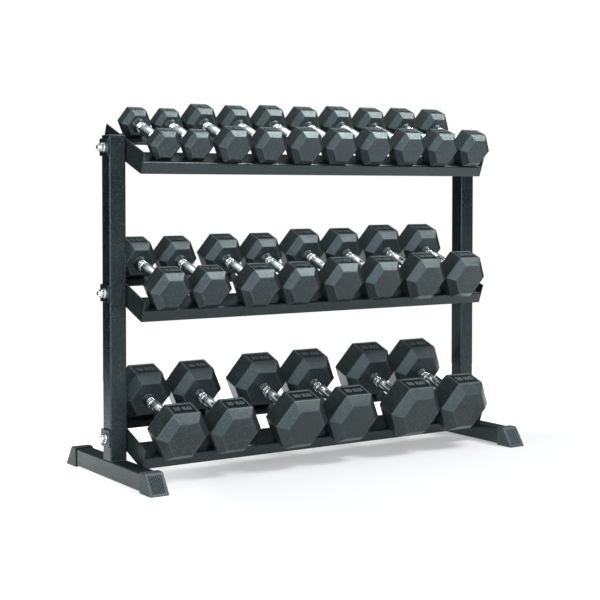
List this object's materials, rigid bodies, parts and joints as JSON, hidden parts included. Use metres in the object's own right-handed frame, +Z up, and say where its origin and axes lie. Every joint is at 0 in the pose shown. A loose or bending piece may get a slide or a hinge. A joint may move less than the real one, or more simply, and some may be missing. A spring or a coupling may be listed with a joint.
{
  "type": "dumbbell rack",
  "caption": "Steel rack with stacked sloping tiers between two posts on booted feet, holding graded pairs of hexagonal rubber-coated dumbbells that lift off.",
  "frame": {"origin": "on the floor, midway between the two posts and midway between the front and rear ends of the feet", "axes": "+X along the rack to the right as seen from the front, +Y to the rear, +Z up; the tiers slope down towards -Y"},
  "size_m": [1.3512, 0.54, 1.0656],
  "materials": {
    "powder_coat": "fine-textured satin powder coat, charcoal with a slight blue-green tint",
    "boot_rubber": "matt moulded rubber, ribbed on its sloping end",
    "cap_plastic": "satin moulded insert",
    "zinc_bolts": "bright zinc plate",
    "rubbered_iron": "iron heads coated in pebbled dark rubber, on a chromed contoured handle"
  },
  "bodies": {
    "rack": {"post_left": "powder_coat", "post_cap_left": "cap_plastic", "base_tube_left": "powder_coat", "boot_left_front": "boot_rubber", "boot_left_rear": "boot_rubber", "post_right": "powder_coat", "post_cap_right": "cap_plastic", "base_tube_right": "powder_coat", "boot_right_front": "boot_rubber", "boot_right_rear": "boot_rubber", "low_rail_front": "powder_coat", "low_rail_rear": "powder_coat", "low_end_plate_left": "powder_coat", "low_backing_plate_left": "powder_coat", "low_bolt_left": "zinc_bolts", "low_end_plate_right": "powder_coat", "low_backing_plate_right": "powder_coat", "low_bolt_right": "zinc_bolts", "middle_rail_front": "powder_coat", "middle_rail_rear": "powder_coat", "middle_end_plate_left": "powder_coat", "middle_backing_plate_left": "powder_coat", "middle_bolt_left": "zinc_bolts", "middle_end_plate_right": "powder_coat", "middle_backing_plate_right": "powder_coat", "middle_bolt_right": "zinc_bolts", "top_rail_front": "powder_coat", "top_rail_rear": "powder_coat", "top_end_plate_left": "powder_coat", "top_backing_plate_left": "powder_coat", "top_bolt_left": "zinc_bolts", "top_end_plate_right": "powder_coat", "top_backing_plate_right": "powder_coat", "top_bolt_right": "zinc_bolts"},
    "low_dumbbell_1": {"low_dumbbell_1": "rubbered_iron"},
    "low_dumbbell_2": {"low_dumbbell_2": "rubbered_iron"},
    "low_dumbbell_3": {"low_dumbbell_3": "rubbered_iron"},
    "low_dumbbell_4": {"low_dumbbell_4": "rubbered_iron"},
    "low_dumbbell_5": {"low_dumbbell_5": "rubbered_iron"},
    "low_dumbbell_6": {"low_dumbbell_6": "rubbered_iron"},
    "middle_dumbbell_1": {"middle_dumbbell_1": "rubbered_iron"},
    "middle_dumbbell_2": {"middle_dumbbell_2": "rubbered_iron"},
    "middle_dumbbell_3": {"middle_dumbbell_3": "rubbered_iron"},
    "middle_dumbbell_4": {"middle_dumbbell_4": "rubbered_iron"},
    "middle_dumbbell_5": {"middle_dumbbell_5": "rubbered_iron"},
    "middle_dumbbell_6": {"middle_dumbbell_6": "rubbered_iron"},
    "middle_dumbbell_7": {"middle_dumbbell_7": "rubbered_iron"},
    "middle_dumbbell_8": {"middle_dumbbell_8": "rubbered_iron"},
    "top_dumbbell_1": {"top_dumbbell_1": "rubbered_iron"},
    "top_dumbbell_2": {"top_dumbbell_2": "rubbered_iron"},
    "top_dumbbell_3": {"top_dumbbell_3": "rubbered_iron"},
    "top_dumbbell_4": {"top_dumbbell_4": "rubbered_iron"},
    "top_dumbbell_5": {"top_dumbbell_5": "rubbered_iron"},
    "top_dumbbell_6": {"top_dumbbell_6": "rubbered_iron"},
    "top_dumbbell_7": {"top_dumbbell_7": "rubbered_iron"},
    "top_dumbbell_8": {"top_dumbbell_8": "rubbered_iron"},
    "top_dumbbell_9": {"top_dumbbell_9": "rubbered_iron"},
    "top_dumbbell_10": {"top_dumbbell_10": "rubbered_iron"}
  },
  "joints": [
    {"name": "low_dumbbell_1_lift", "type": "slide", "parent": "rack", "child": "low_dumbbell_1", "axis": [0, -0.3502, 0.9367], "range_m": [0, 0.15]},
    {"name": "low_dumbbell_2_lift", "type": "slide", "parent": "rack", "child": "low_dumbbell_2", "axis": [0, -0.3502, 0.9367], "range_m": [0, 0.15]},
    {"name": "low_dumbbell_3_lift", "type": "slide", "parent": "rack", "child": "low_dumbbell_3", "axis": [0, -0.3502, 0.9367], "range_m": [0, 0.15]},
    {"name": "low_dumbbell_4_lift", "type": "slide", "parent": "rack", "child": "low_dumbbell_4", "axis": [0, -0.3502, 0.9367], "range_m": [0, 0.15]},
    {"name": "low_dumbbell_5_lift", "type": "slide", "parent": "rack", "child": "low_dumbbell_5", "axis": [0, -0.3502, 0.9367], "range_m": [0, 0.15]},
    {"name": "low_dumbbell_6_lift", "type": "slide", "parent": "rack", "child": "low_dumbbell_6", "axis": [0, -0.3502, 0.9367], "range_m": [0, 0.15]},
    {"name": "middle_dumbbell_1_lift", "type": "slide", "parent": "rack", "child": "middle_dumbbell_1", "axis": [0, -0.3502, 0.9367], "range_m": [0, 0.15]},
    {"name": "middle_dumbbell_2_lift", "type": "slide", "parent": "rack", "child": "middle_dumbbell_2", "axis": [0, -0.3502, 0.9367], "range_m": [0, 0.15]},
    {"name": "middle_dumbbell_3_lift", "type": "slide", "parent": "rack", "child": "middle_dumbbell_3", "axis": [0, -0.3502, 0.9367], "range_m": [0, 0.15]},
    {"name": "middle_dumbbell_4_lift", "type": "slide", "parent": "rack", "child": "middle_dumbbell_4", "axis": [0, -0.3502, 0.9367], "range_m": [0, 0.15]},
    {"name": "middle_dumbbell_5_lift", "type": "slide", "parent": "rack", "child": "middle_dumbbell_5", "axis": [0, -0.3502, 0.9367], "range_m": [0, 0.15]},
    {"name": "middle_dumbbell_6_lift", "type": "slide", "parent": "rack", "child": "middle_dumbbell_6", "axis": [0, -0.3502, 0.9367], "range_m": [0, 0.15]},
    {"name": "middle_dumbbell_7_lift", "type": "slide", "parent": "rack", "child": "middle_dumbbell_7", "axis": [0, -0.3502, 0.9367], "range_m": [0, 0.15]},
    {"name": "middle_dumbbell_8_lift", "type": "slide", "parent": "rack", "child": "middle_dumbbell_8", "axis": [0, -0.3502, 0.9367], "range_m": [0, 0.15]},
    {"name": "top_dumbbell_1_lift", "type": "slide", "parent": "rack", "child": "top_dumbbell_1", "axis": [0, -0.3502, 0.9367], "range_m": [0, 0.15]},
    {"name": "top_dumbbell_2_lift", "type": "slide", "parent": "rack", "child": "top_dumbbell_2", "axis": [0, -0.3502, 0.9367], "range_m": [0, 0.15]},
    {"name": "top_dumbbell_3_lift", "type": "slide", "parent": "rack", "child": "top_dumbbell_3", "axis": [0, -0.3502, 0.9367], "range_m": [0, 0.15]},
    {"name": "top_dumbbell_4_lift", "type": "slide", "parent": "rack", "child": "top_dumbbell_4", "axis": [0, -0.3502, 0.9367], "range_m": [0, 0.15]},
    {"name": "top_dumbbell_5_lift", "type": "slide", "parent": "rack", "child": "top_dumbbell_5", "axis": [0, -0.3502, 0.9367], "range_m": [0, 0.15]},
    {"name": "top_dumbbell_6_lift", "type": "slide", "parent": "rack", "child": "top_dumbbell_6", "axis": [0, -0.3502, 0.9367], "range_m": [0, 0.15]},
    {"name": "top_dumbbell_7_lift", "type": "slide", "parent": "rack", "child": "top_dumbbell_7", "axis": [0, -0.3502, 0.9367], "range_m": [0, 0.15]},
    {"name": "top_dumbbell_8_lift", "type": "slide", "parent": "rack", "child": "top_dumbbell_8", "axis": [0, -0.3502, 0.9367], "range_m": [0, 0.15]},
    {"name": "top_dumbbell_9_lift", "type": "slide", "parent": "rack", "child": "top_dumbbell_9", "axis": [0, -0.3502, 0.9367], "range_m": [0, 0.15]},
    {"name": "top_dumbbell_10_lift", "type": "slide", "parent": "rack", "child": "top_dumbbell_10", "axis": [0, -0.3502, 0.9367], "range_m": [0, 0.15]}
  ]
}
